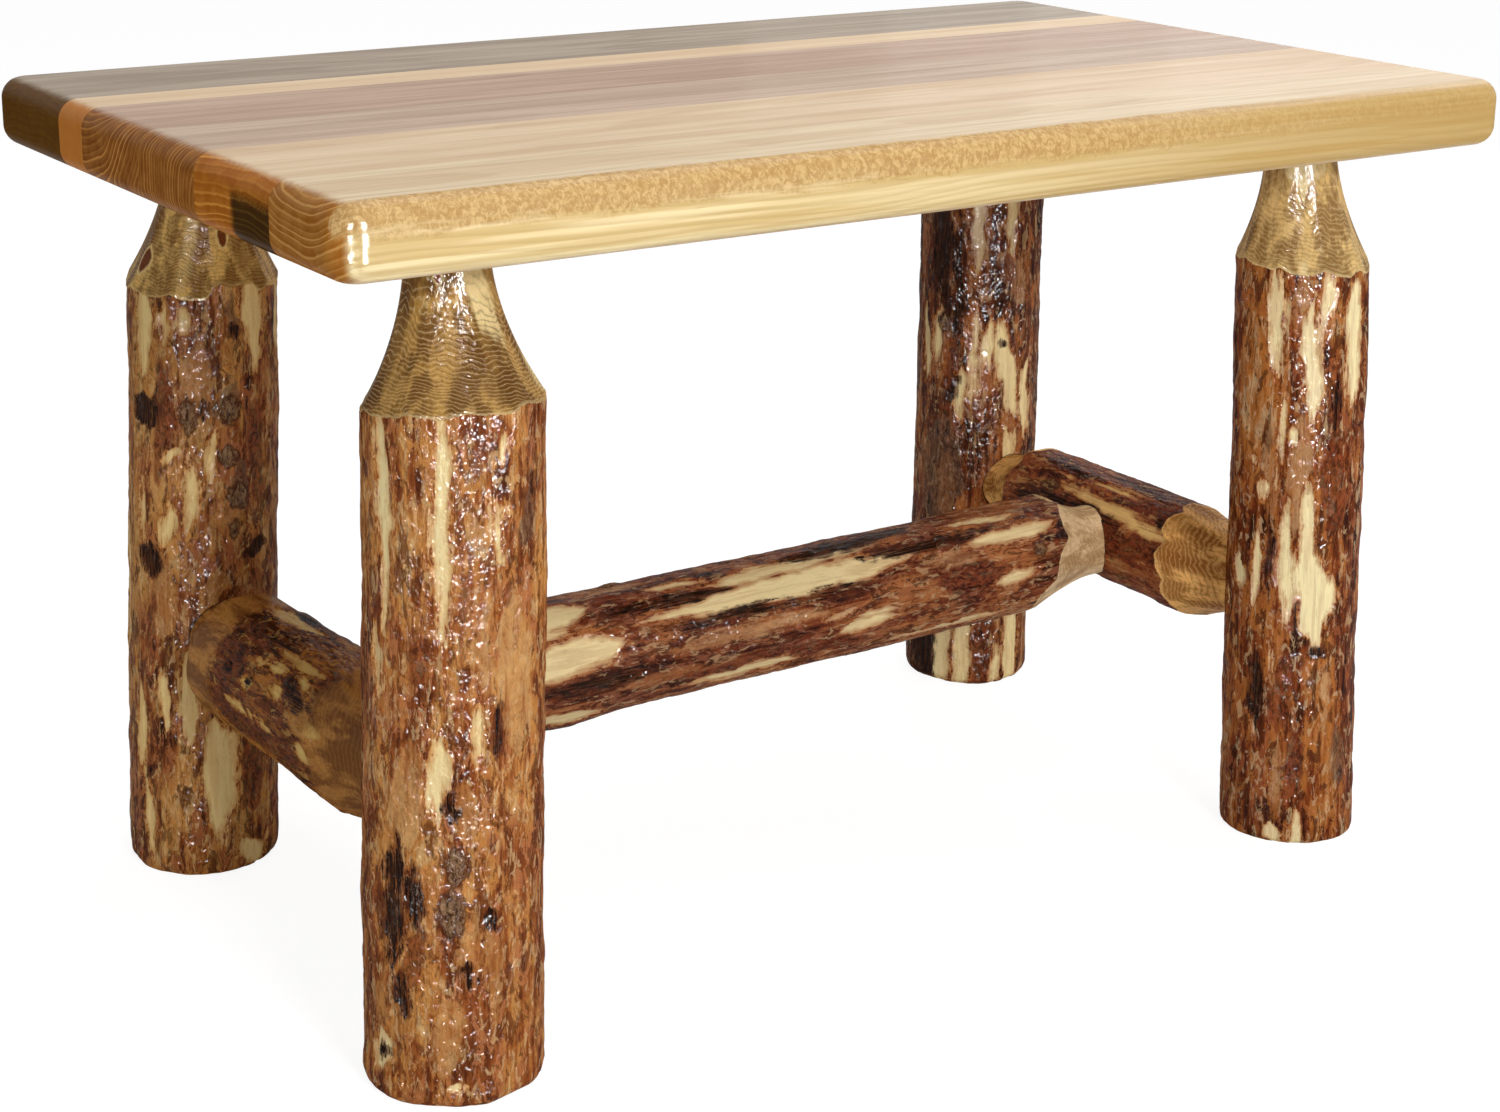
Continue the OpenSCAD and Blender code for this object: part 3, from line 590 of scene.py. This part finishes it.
def log_noises(g, look):
    """What the colours and the relief of a log are drawn with."""
    n = SimpleNamespace(plate=g.attribute("plate"), gold=between(look.light, look.cream, 0.4))
    n.along = g.attribute("grain", "Vector")
    n.grain = g.vector("ADD", n.along, (look.seed, look.seed * 2, look.seed * 37))
    n.blotch = g.noise(g.scaled(n.grain, 0.045, 0.045, 0.016), detail=4, rough=0.6, warp=0.8)
    n.flake = g.noise(g.scaled(n.grain, 0.13, 0.13, 0.045), detail=5, rough=0.62, warp=0.9, out="Color")
    n.flake = g.node("ShaderNodeSeparateColor", {0: n.flake}).node.outputs
    n.chip = g.noise(g.scaled(n.grain, 0.26, 0.26, 0.1), detail=5, rough=0.62, warp=0.8)
    n.streak = g.noise(g.scaled(n.grain, 0.3, 0.3, 0.022), detail=4, rough=0.6, warp=0.4)
    n.fibre = g.noise(g.scaled(n.grain, 1.0, 1.0, 0.07), detail=3, rough=0.65)
    n.crumb = g.noise(g.scaled(n.grain, 0.45, 0.45, 0.22), detail=4, rough=0.65, warp=0.8)
    return n


def bark_colour(g, n, look):
    """Three tones laid over one another in flakes with crisp rims, then the tan, red and grey marks."""
    def mask(key, low, high, gain=7):
        return g.step(g.add(g.attribute(key), g.centred(n.crumb, gain)), low, high)

    lift = g.add(g.centred(n.blotch, 1.9), g.centred(n.streak, 1.3))
    lift = g.add(lift, g.math("MULTIPLY_ADD", n.plate, -0.5, 0.52 + look.tone))
    bark = g.ramp(lift, [(0.08, look.dark), (0.3, between(look.dark, look.mid, 0.6)), (0.42, look.mid),
                         (0.58, between(look.mid, look.light, 0.5)), (0.75, look.light), (0.92, n.gold)])
    n.over = g.add(n.flake[0], g.centred(n.streak, 0.25))
    warm = g.mix(g.step(n.blotch, 0.42, 0.56), look.rosy, look.light)
    bark = g.mix(g.step(n.over, 0.505, 0.52, 0, 0.72), bark, warm)
    bark = g.mix(g.step(n.flake[1], 0.445, 0.43, 0, 0.75), bark, between(look.dark, look.mid, 0.25))
    bark = g.mix(g.step(n.chip, 0.55, 0.6, 0, 0.6), bark, n.gold)
    bark = g.mix(g.step(n.chip, 0.43, 0.38, 0, 0.6), bark, look.dark)
    rim = g.math("ABSOLUTE", g.math("SUBTRACT", n.over, 0.5))
    bark = g.mix(g.step(rim, 0.014, 0.004, 0, 0.3), bark, look.dark)
    rim = g.math("ABSOLUTE", g.math("SUBTRACT", n.chip, 0.55))
    bark = g.mix(g.step(rim, 0.012, 0.003, 0, 0.25), bark, look.dark)
    bark = g.mix(g.step(n.fibre, 0.46, 0.32, 0, 0.3), bark, look.dark)
    bark = g.mix(g.step(n.fibre, 0.56, 0.72, 0, 0.22), bark, look.light)
    tan = between(look.mid, look.light, 0.75)
    tan = g.mix(g.step(n.blotch, 0.35, 0.65), tan, between(look.light, n.gold, 0.6))
    tan = g.mix(g.step(n.streak, 0.5, 0.36, 0, 0.6), tan, look.mid)
    tan = g.mix(g.step(n.flake[2], 0.53, 0.56, 0, 0.4), tan, n.gold)
    tan = g.mix(g.step(n.crumb, 0.46, 0.38, 0, 0.5), tan, look.mid)
    bark = g.mix(g.times(mask("tan", -0.5, 1.8, 11), 0.72), bark, tan)
    rust = g.mix(g.step(n.crumb, 0.4, 0.6), look.dark, between(look.mid, (0.35, 0.08, 0.03, 1), 0.35))
    bark = g.mix(g.times(mask("red", -0.5, 1.5), 0.75), bark, rust)
    grey = g.mix(g.step(n.crumb, 0.35, 0.65), between(look.dark, rgb(50, 42, 38), 0.5), rgb(130, 98, 72))
    bark = g.mix(g.times(mask("grey", -0.5, 1.5), 0.6), bark, grey)
    crack = g.step(g.math("ABSOLUTE", g.add(n.plate, -0.15)), 0.12, 0.03)
    crack = g.times(crack, g.step(n.crumb, 0.5, 0.6, 0, 0.3))
    return g.mix(crack, bark, rgb(44, 20, 10))


def peeled_colour(g, n, look, bark):
    """Pale wood where the inner bark is gone, with a golden rim."""
    torn = g.add(g.centred(n.crumb, 5.5 * look.ragged), g.centred(n.streak, 13 * look.ragged))
    n.pale = g.add(g.attribute("pale"), torn)
    inner = g.mix(g.step(n.pale, 0.8, 2.6, 0.75, 0.0), look.cream, n.gold)
    inner = g.mix(g.step(n.streak, 0.46, 0.62, 0, 0.45), inner, n.gold)
    inner = g.mix(g.step(n.fibre, 0.54, 0.72, 0, 0.45), inner, between(look.cream, look.mid, 0.5))
    skin = g.mix(g.step(n.pale, -2.8, -1.0), bark, g.mix(g.step(n.crumb, 0.45, 0.55), look.mid, look.light))
    skin = g.mix(g.step(n.pale, -1.1, 0.1), skin, between(look.light, look.cream, 0.3))
    return g.mix(g.step(n.pale, 0, 1.3), skin, inner)


def scarred_colour(g, n, look, skin):
    """Dark scars and knots."""
    black = g.mix(g.step(n.fibre, 0.4, 0.7), rgb(28, 12, 5), rgb(84, 46, 20))
    scar = g.add(g.attribute("black"), g.add(g.centred(n.crumb, 9), g.centred(n.streak, 10)))
    thread = g.step(n.fibre, 0.4, 0.62, 2.0, -2.4)
    skin = g.mix(g.step(scar, -3.4, -0.6, 0, 0.75), skin, between(look.dark, (0.3, 0.06, 0.02, 1), 0.2))
    skin = g.mix(g.step(g.add(scar, thread), -0.8, 1.0), skin, black)
    n.knot = g.add(g.attribute("knot"), g.add(g.centred(n.crumb, 9), g.centred(n.chip, 9)))
    eye = g.mix(g.step(n.crumb, 0.38, 0.6), rgb(64, 36, 18), rgb(170, 128, 84))
    skin = g.mix(g.step(n.knot, -2.6, -0.4, 0, 0.85), skin, between(look.dark, (0.12, 0.03, 0.01, 1), 0.4))
    return g.mix(g.step(n.knot, -0.2, 1.4, 0, 0.8), skin, eye)


def shaved_colour(g, n, look):
    """Shaved ends, with growth rings that the drawknife cut across."""
    shave = g.attribute("shave")
    sway = g.noise(g.scaled(n.grain, 0.05, 0.05, 0.03), detail=2, rough=0.5, warp=0.4)
    n.ripple = g.noise(g.scaled(n.grain, 0.15, 0.15, 0.12), detail=3, rough=0.5)
    ring = g.add(g.math("MULTIPLY_ADD", sway, 5.0, g.attribute("pith")), g.times(n.ripple, 2.2))
    wave = g.math("PINGPONG", g.math("DIVIDE", ring, 0.9), 0.5)
    n.late = g.times(g.step(wave, 0.2, 0.05), g.step(shave, *look.ring_zone, 0.3, 1.0))
    band = g.noise(g.scaled(n.grain, 0.09, 0.09, 0.022), detail=4, rough=0.6, warp=0.2)
    wood = g.mix(g.step(band, 0.41, 0.58), between(look.shave_light, look.shave_dark, 0.75), look.shave_light)
    wood = g.mix(g.step(n.crumb, 0.4, 0.6, 0.3, 0.0), wood, look.shave_dark)
    # red marks that reach a shaved taper darken it; on the left side of both left legs' tapers this is
    # painted shade
    wood = g.mix(g.step(g.attribute("red"), -4, 3, 0, 0.6), wood, look.shave_dark)
    pale_end = between(look.shave_light, look.cream, 0.75)
    # tan marks that reach a shaved taper make it paler; on the front left leg's upper right this is a painted
    # highlight
    pale_wood_and_highlight = g.times(g.step(g.attribute("tan"), -3, 4), g.step(n.ripple, 0.3, 0.55, 0.55, 0.95))
    wood = g.mix(pale_wood_and_highlight, wood, pale_end)
    strong = g.step(band, 0.65, 0.35, 0.25 * look.rings, 0.65 * look.rings)
    wood = g.mix(g.times(n.late, strong), wood, look.shave_dark)
    wood = g.mix(g.step(wave, 0.36, 0.47, 0, 0.35 * look.rings), wood, pale_end)
    wood = g.mix(g.step(n.fibre, 0.42, 0.3, 0, 0.3), wood, look.shave_dark)
    edge = g.add(shave, g.centred(n.crumb, max(2.4, look.soft * 2)))
    wood = g.mix(g.step(edge, 1.8, 0.3, 0, 0.5 if look.soft < 1 else 0.0), wood,
                 between(look.shave_light, look.cream, 0.5))
    n.cone = g.step(edge, -look.soft, look.soft)
    burl = g.add(g.attribute("knot"), g.centred(n.crumb, 3))
    wood = g.mix(g.step(burl, -2.6, -0.8), wood, pale_end)
    return g.mix(g.step(burl, -0.6, 1.4), wood, between(look.dark, look.mid, 0.7))


def sawn_colour(g, n, look, colour):
    """The sawn foot of a leg shows its end grain."""
    place = g.split(g.node("ShaderNodeTexCoord", {}, "Object"))
    facing = g.split(g.node("ShaderNodeNewGeometry", {}, "Normal"))
    sawn = g.times(g.step(place[2], 0.0016, 0.0006), g.step(facing[2], -0.6, -0.8))
    flat = g.vector("LENGTH", g.scaled(n.along, 1, 1, 0), out=1)
    year = g.math("PINGPONG", g.math("MULTIPLY_ADD", n.ripple, 1.4, g.times(flat, 0.55)), 0.5)
    stump = g.mix(g.step(year, 0.3, 0.45), look.shave_light, between(look.shave_light, look.shave_dark, 0.6))
    stump = g.mix(g.step(n.crumb, 0.5, 0.35, 0, 0.4), stump, look.shave_dark)
    return g.mix(sawn, colour, stump)


def log_relief(g, n, look):
    """Height in mm of the thick lacquer, and of the wood under it."""
    lump = g.noise(g.scaled(n.grain, 0.22, 0.22, 0.16), detail=2, rough=0.5)
    drops = g.noise(g.scaled(n.grain, 0.42, 0.42, 0.34), detail=1, rough=0.5)
    calm = g.step(n.pale, -0.8, 0.8, 1.0, 0.4)
    swell = g.add(g.centred(lump, 2.1 * look.wet), g.centred(drops, 1.2 * look.wet))
    flakes = g.add(g.step(n.over, 0.5, 0.525, 0, 0.28), g.step(n.chip, 0.55, 0.575, 0, 0.18))
    rough = g.times(g.step(n.knot, -2, 1), g.centred(n.crumb, 2.4))
    bark_mm = g.times(g.add(g.add(swell, rough), flakes), calm)
    wood_mm = g.add(g.times(n.late, -0.16), g.times(swell, 0.45))
    height = g.node("ShaderNodeMix", {0: n.cone, 2: bark_mm, 3: wood_mm}, data_type="FLOAT")
    return height, g.add(height, g.times(g.centred(n.crumb, 0.6), calm))


def log_material(name, look):
    """Barked, lacquered log."""
    look = SimpleNamespace(**{**USUAL, **look})
    g = Graph(bpy.data.materials.new(name))
    n = log_noises(g, look)
    skin = scarred_colour(g, n, look, peeled_colour(g, n, look, bark_colour(g, n, look)))
    wood = shaved_colour(g, n, look)
    colour = sawn_colour(g, n, look, g.mix(n.cone, skin, wood))
    colour = g.mix(g.step(g.attribute("seam"), 1.1, 0.1, 0, 0.9), colour, rgb(20, 11, 6))
    coat, under = log_relief(g, n, look)
    return g.lacquer(colour, g.bump(under, MM), COAT, 0.06, g.bump(coat, MM))


def stained(g, at, beat, grit, thin, ends):
    """Dark patch low on the left end, beside the front board."""
    edge = g.add(at[1], g.centred(beat, 5))
    high = g.add(at[2], g.centred(grit, 8))
    on = g.times(g.step(edge, -95, -102), g.step(high, 426, 416))
    on = g.times(on, g.step(at[0], 50, -50))
    return g.mix(g.times(on, 0.9), ends, g.mix(thin, rgb(34, 26, 3), rgb(64, 48, 10)))


def golden_front(g, p, at, across, strand, late, colour, mottle):
    """The front edge is golden, paler to the left, and flecked along its upper rounding."""
    front = g.step(at[1], -199.0, -202.0)
    gold = g.mix(g.step(strand, 0.4, 0.62), rgb(222, 194, 136), rgb(246, 228, 180))
    gold = g.mix(g.times(late, 0.25), gold, rgb(184, 140, 76))
    gold = g.mix(g.step(at[0], -250, 300, 0, 0.8), gold, rgb(186, 149, 84))
    colour = g.mix(g.times(front, g.step(across, 0.8, 0.5)), colour, gold)
    patch = g.noise(g.scaled(p, 0.03, 0.2, 0.2), detail=4, rough=0.65, warp=0.6)
    speck = g.noise(g.scaled(p, 0.4, 0.35, 0.3), detail=5, rough=0.7, warp=0.7)
    low = g.add(at[2], g.centred(patch, 16))
    band = g.times(g.step(low, 415, 421), g.step(g.add(at[1], g.centred(patch, 10)), -193, -197))
    far = g.step(at[0], 230, 20, 0.25, 1.0)
    rough = g.mix(g.step(speck, 0.36, 0.6), rgb(220, 186, 128), rgb(188, 144, 86))
    return g.mix(g.times(g.times(band, far), mottle), colour, rough)


def board_material(name, dark, mid, light, end_dark, end_light, pith_y, pith_z, spacing, seed, figure=1.0,
                   lines=1.0, stain=False, mottle=0.0):
    """Flat board sawn from a log whose pith runs along X at pith_y, pith_z (mm), with rings at a spacing.
    figure shows the grain of its faces, lines the pale rings of its ends, mottle the flecks of an edge."""
    g = Graph(bpy.data.materials.new(name))
    p = g.scaled(g.node("ShaderNodeTexCoord", {}, "Object"), 1 / MM, 1 / MM, 1 / MM)
    moved = g.vector("ADD", p, (seed * 911.0, -pith_y, -pith_z))
    slow = g.noise(g.scaled(moved, 0.0035, 0.012, 0.012), detail=2, rough=0.4, out="Color")
    shift = g.vector("SUBTRACT", slow, (0.5, 0.5, 0.5))
    bent = g.vector("ADD", g.scaled(shift, 0, 26, 26), moved)
    cross = g.split(bent)
    y, z = cross[1], cross[2]
    rho = g.math("SQRT", g.add(g.times(y, y), g.times(z, z)))
    beat = g.noise(g.scaled(moved, 0.02, 0.14, 0.14), detail=2, rough=0.5)
    pulse = {"W": g.times(rho, 0.07), "Scale": 1.0, "Detail": 2.0, "Roughness": 0.5}
    pulse = g.node("ShaderNodeTexNoise", pulse, noise_dimensions="1D")
    ring = g.add(g.times(rho, 1 / spacing), g.math("MULTIPLY_ADD", pulse, 1.6, g.centred(beat, 0.3)))
    saw = g.math("FRACT", ring)
    late = g.times(g.step(saw, 0.3, 0.85), g.step(saw, 1.0, 0.92))
    fibre = g.noise(g.scaled(moved, 0.012, 0.9, 0.9), detail=4, rough=0.6)
    pores = g.noise(g.scaled(moved, 0.045, 2.2, 2.2), detail=2, rough=0.5)
    broad = g.noise(g.scaled(moved, 0.004, 0.06, 0.06), detail=3, rough=0.55, warp=0.3)
    strand = g.noise(g.scaled(moved, 0.005, 0.22, 0.22), detail=3, rough=0.55)
    colour = g.mix(g.step(broad, 0.38, 0.62), mid, light)
    colour = g.mix(g.times(late, g.step(broad, 0.65, 0.35, 0.2 * figure, 0.6 * figure)), colour, dark)
    colour = g.mix(g.step(strand, 0.5, 0.36, 0, 0.5 * figure), colour, dark)
    colour = g.mix(g.step(fibre, 0.48, 0.34, 0, 0.5 * figure), colour, dark)
    colour = g.mix(g.step(pores, 0.38, 0.3, 0, 0.5 * figure), colour, dark)
    # end grain drinks more of the finish and shows its rings as pale lines
    ends = g.mix(g.step(beat, 0.3, 0.7), between(end_dark, end_light, 0.1),
                 between(end_dark, end_light, 0.35))
    thin = g.times(g.step(saw, 0, 0.16), g.step(saw, 0.4, 0.2))
    ends = g.mix(g.times(thin, g.step(pulse, 0.4, 0.6, 0.25 * lines, 0.9 * lines)), ends, end_light)
    ends = g.mix(g.times(g.step(saw, 0.6, 0.9), g.step(saw, 1.0, 0.94, 0, 0.5)), ends, end_dark)
    grit = g.noise(g.scaled(p, 0.4, 0.9, 0.9), detail=3, rough=0.6)
    ends = g.mix(g.step(grit, 0.45, 0.3, 0, 0.5), ends, end_dark)
    at = g.split(p)
    across = g.math("ABSOLUTE", g.split(g.node("ShaderNodeNewGeometry", {}, "Normal"))[0])
    if stain:
        ends = stained(g, at, beat, grit, thin, ends)
    colour = g.mix(g.step(g.add(across, g.centred(fibre, 0.5)), 0.1, 0.6), colour, ends)
    if mottle:
        colour = golden_front(g, p, at, across, strand, late, colour, mottle)
    height = g.add(g.times(fibre, 0.5), g.times(late, -0.35))
    under = g.bump(height, 0.0003)
    peel = g.noise(g.scaled(p, 0.12, 0.16, 0.16), detail=1, rough=0.4)
    coat = g.bump(g.add(peel, g.times(height, 0.25)), 0.0003)
    # end grain drinks the lacquer, so it shines less
    shine = g.step(across, 0.85, 0.98, COAT, 0.07)
    return g.lacquer(colour, under, shine, 0.08, coat)


# The object
# the stretcher end that enters each log: where its axis starts, a point it runs to, its shape
MATES = {
    "front_left_leg": (L_FRONT, L_BACK, RAILS["left_end_stretcher"]["e1"]),
    "back_left_leg": (L_BACK, L_FRONT, RAILS["left_end_stretcher"]["e0"]),
    "front_right_leg": (R_FRONT, R_BACK, RAILS["right_end_stretcher"]["e1"]),
    "back_right_leg": (R_BACK, R_FRONT, RAILS["right_end_stretcher"]["e0"]),
    "left_end_stretcher": (M_LEFT, M_RIGHT, RAILS["long_stretcher"]["e0"]),
    "right_end_stretcher": (M_RIGHT, M_LEFT, RAILS["long_stretcher"]["e1"]),
}
LOOKS = {
    "front_left_leg": ("log_orange", dict(
        dark=rgb(76, 32, 12), mid=rgb(149, 78, 34), light=rgb(202, 137, 70), rosy=rgb(190, 118, 70),
        cream=rgb(240, 220, 164), shave_dark=rgb(92, 56, 20), shave_light=rgb(192, 148, 78), tone=0.05,
        seed=3.1)),
    "back_left_leg": ("log_brown", dict(
        dark=rgb(48, 20, 8), mid=rgb(140, 74, 34), light=rgb(200, 138, 70), rosy=rgb(176, 104, 60),
        cream=rgb(238, 210, 144), shave_dark=rgb(112, 66, 20), shave_light=rgb(250, 206, 120), tone=0.09,
        rings=0.7, seed=11.7)),
    "front_right_leg": ("log_red_brown", dict(
        dark=rgb(48, 20, 8), mid=rgb(126, 57, 23), light=rgb(180, 110, 50), rosy=rgb(155, 84, 47),
        cream=rgb(246, 230, 178), shave_dark=rgb(122, 84, 40), shave_light=rgb(228, 192, 126), tone=-0.03,
        rings=0.7, wet=0.5, seed=23.9)),
    "back_right_leg": ("log_red_brown", dict(
        dark=rgb(32, 15, 8), mid=rgb(108, 50, 22), light=rgb(170, 102, 52), rosy=rgb(134, 80, 52),
        cream=rgb(236, 214, 158), shave_dark=rgb(128, 90, 46), shave_light=rgb(206, 174, 116), tone=-0.04,
        seed=37.3)),
    "left_end_stretcher": ("log_dark", dict(
        dark=rgb(40, 17, 6), mid=rgb(118, 58, 20), light=rgb(180, 112, 42), rosy=rgb(134, 76, 40),
        cream=rgb(222, 190, 110), shave_dark=rgb(104, 58, 22), shave_light=rgb(190, 130, 64), rings=0.35,
        soft=5.0, seed=41.9)),
    "right_end_stretcher": ("log_dark", dict(
        dark=rgb(42, 17, 9), mid=rgb(114, 48, 25), light=rgb(164, 92, 50), rosy=rgb(130, 70, 52),
        cream=rgb(228, 192, 122), shave_dark=rgb(138, 80, 30), shave_light=rgb(252, 196, 116), tone=-0.02,
        rings=1.3, ring_zone=(8, 26), seed=53.3)),
    "long_stretcher": ("log_dark", dict(
        dark=rgb(42, 18, 10), mid=rgb(118, 54, 30), light=rgb(174, 108, 62), rosy=rgb(142, 84, 60),
        cream=rgb(232, 212, 160), shave_dark=rgb(164, 122, 78), shave_light=rgb(236, 206, 160), rings=0.7,
        ragged=0.55, wet=0.8, seed=67.1)),
}
BOARDS = {
    "board_1_front": ("pine_golden", dict(
        dark=rgb(194, 162, 124), mid=rgb(223, 197, 161), light=rgb(232, 210, 176), end_dark=rgb(154, 90, 22),
        end_light=rgb(212, 160, 86), pith_y=-158, pith_z=520, spacing=3.4, seed=1, figure=0.55, mottle=0.9)),
    "board_2_stained": ("pine_stained", dict(
        dark=rgb(194, 158, 122), mid=rgb(220, 190, 154), light=rgb(230, 204, 171), end_dark=rgb(166, 90, 14),
        end_light=rgb(226, 156, 66), pith_y=-100, pith_z=190, spacing=4.2, seed=2, figure=0.4, stain=True)),
    "board_3": ("pine_brown", dict(
        dark=rgb(156, 126, 104), mid=rgb(194, 167, 144), light=rgb(208, 182, 159), end_dark=rgb(126, 70, 14),
        end_light=rgb(214, 148, 72), pith_y=-98, pith_z=398, spacing=3.4, seed=3, figure=0.5)),
    "board_4": ("pine_reddish", dict(
        dark=rgb(152, 120, 100), mid=rgb(186, 154, 131), light=rgb(202, 172, 150), end_dark=rgb(122, 66, 14),
        end_light=rgb(216, 150, 74), pith_y=80, pith_z=464, spacing=3.4, seed=4, figure=0.55)),
    "board_5_narrow": ("pine_pale", dict(
        dark=rgb(204, 168, 130), mid=rgb(228, 198, 160), light=rgb(236, 208, 172), end_dark=rgb(192, 116, 44),
        end_light=rgb(216, 148, 68), pith_y=20, pith_z=380, spacing=2.4, seed=5, figure=0.5, lines=0.25)),
    "board_6_back": ("pine_grey_brown", dict(
        dark=rgb(132, 116, 98), mid=rgb(164, 147, 128), light=rgb(182, 165, 145), end_dark=rgb(94, 58, 4),
        end_light=rgb(126, 86, 24), pith_y=150, pith_z=300, spacing=3.0, seed=6, figure=0.6, lines=0.2)),
}

for number, (name, (slot, look)) in enumerate(LOOKS.items()):
    build = leg_piece if name in LEGS else rail_piece
    piece = build(name, 100 * (number + 1), slot, MATES.get(name))
    piece.data.materials.append(log_material(name + "_wood", look))
for name, (slot, look) in BOARDS.items():
    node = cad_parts[name]
    node.data.materials.clear()
    node.data.materials.append(board_material(name + "_wood", **look))

# Studio
scene = bpy.context.scene


def lamp(name, at, to, width, height, power, lit=True):
    """A soft box. One with lit off is seen in the lacquer and gives no other light."""
    data = bpy.data.lights.new(name, "AREA")
    data.shape, data.size, data.size_y, data.energy = "RECTANGLE", width, height, power
    made = bpy.data.objects.new(name, data)
    scene.collection.objects.link(made)
    back = (Vector(at) - Vector(to)).normalized()
    made.matrix_world = Matrix.Translation(at) @ back.to_track_quat("Z", "Y").to_matrix().to_4x4()
    made.visible_diffuse = lit


lamp("key", (-0.45, -2.35, 1.3), (0, 0, 0.2), 0.4, 0.4, 32)
lamp("window", (-0.25, -1.55, 0.5), (-0.25, 0, 0.5), 0.3, 0.96, 310, lit=False)
lamp("pane", (-1.45, -1.45, 0.5), (-0.27, 0, 0.5), 0.4, 0.9, 250, lit=False)
# four weak ones, each beside the last, give the sheen on the top a soft edge
for number in range(4):
    place = (1.36 + 0.13 * number, 1.16 - 0.09 * number, 0.65)
    lamp(f"sheen_{number}", place, (0.3, 0, SEAT * MM), 1.0, 0.5, 0.55, lit=False)
lamp("left", (-2.4, -1.0, 0.7), (0, 0, 0.25), 0.1, 1.0, 3)
lamp("top", (0.7, 0.3, 2.3), (0.1, 0, 0.2), 1.2, 1.2, 20)
lamp("right", (2.3, -1.2, 1.0), (0.2, 0, 0.3), 0.3, 0.9, 8)

# the world looks white and lights the object less than it looks
scene.world = bpy.data.worlds.new("studio")
g = Graph(scene.world)
rays = g.node("ShaderNodeLightPath", {}).node.outputs
seen = g.math("MAXIMUM", rays["Is Glossy Ray"], rays["Is Transmission Ray"])
seen = g.math("MAXIMUM", rays["Is Camera Ray"], seen)
strength = g.node("ShaderNodeMapRange", {"Value": seen, "To Min": 0.34, "To Max": 1.0})
sky = g.node("ShaderNodeBackground", {"Color": (1, 1, 1, 1), "Strength": strength})
g.node("ShaderNodeOutputWorld", {"Surface": sky})

bpy.ops.mesh.primitive_plane_add(size=12, location=(0, 0, -0.0002))
floor = bpy.context.object
floor.name = "floor"
g = Graph(bpy.data.materials.new("floor_paper"))
camera_ray = g.node("ShaderNodeLightPath", {}, "Is Camera Ray")
paper = g.node("ShaderNodeBsdfDiffuse", {"Color": (0.86, 0.86, 0.86, 1)})
glow = g.node("ShaderNodeEmission", {"Color": (1, 1, 1, 1), "Strength": 1.2})
lit = g.node("ShaderNodeMixShader", {0: g.times(camera_ray, 0.75), 1: paper, 2: glow})
g.node("ShaderNodeOutputMaterial", {"Surface": lit})
floor.data.materials.append(g.owner)

# camera, as fitted to the photograph: place in metres, turn, dip and roll in radians
yaw, pitch, roll = 0.5918, 0.2787, 0.0112
ahead = np.array([math.sin(yaw) * math.cos(pitch), math.cos(yaw) * math.cos(pitch), -math.sin(pitch)])
right = np.array([math.cos(yaw), -math.sin(yaw), 0])
up = np.cross(right, ahead)
right, up = right * math.cos(roll) + up * math.sin(roll), up * math.cos(roll) - right * math.sin(roll)
lens = bpy.data.cameras.new("camera")
lens.sensor_fit, lens.sensor_width, lens.lens = "HORIZONTAL", 36, 66.108
lens.shift_x, lens.shift_y = 0.001, -0.0776
camera = bpy.data.objects.new("camera", lens)
scene.collection.objects.link(camera)
camera.matrix_world = Matrix(((right[0], up[0], -ahead[0], -0.8100), (right[1], up[1], -ahead[1], -1.1964),
                              (right[2], up[2], -ahead[2], 0.6473), (0, 0, 0, 1)))
scene.camera = camera
scene.view_settings.view_transform = "Standard"
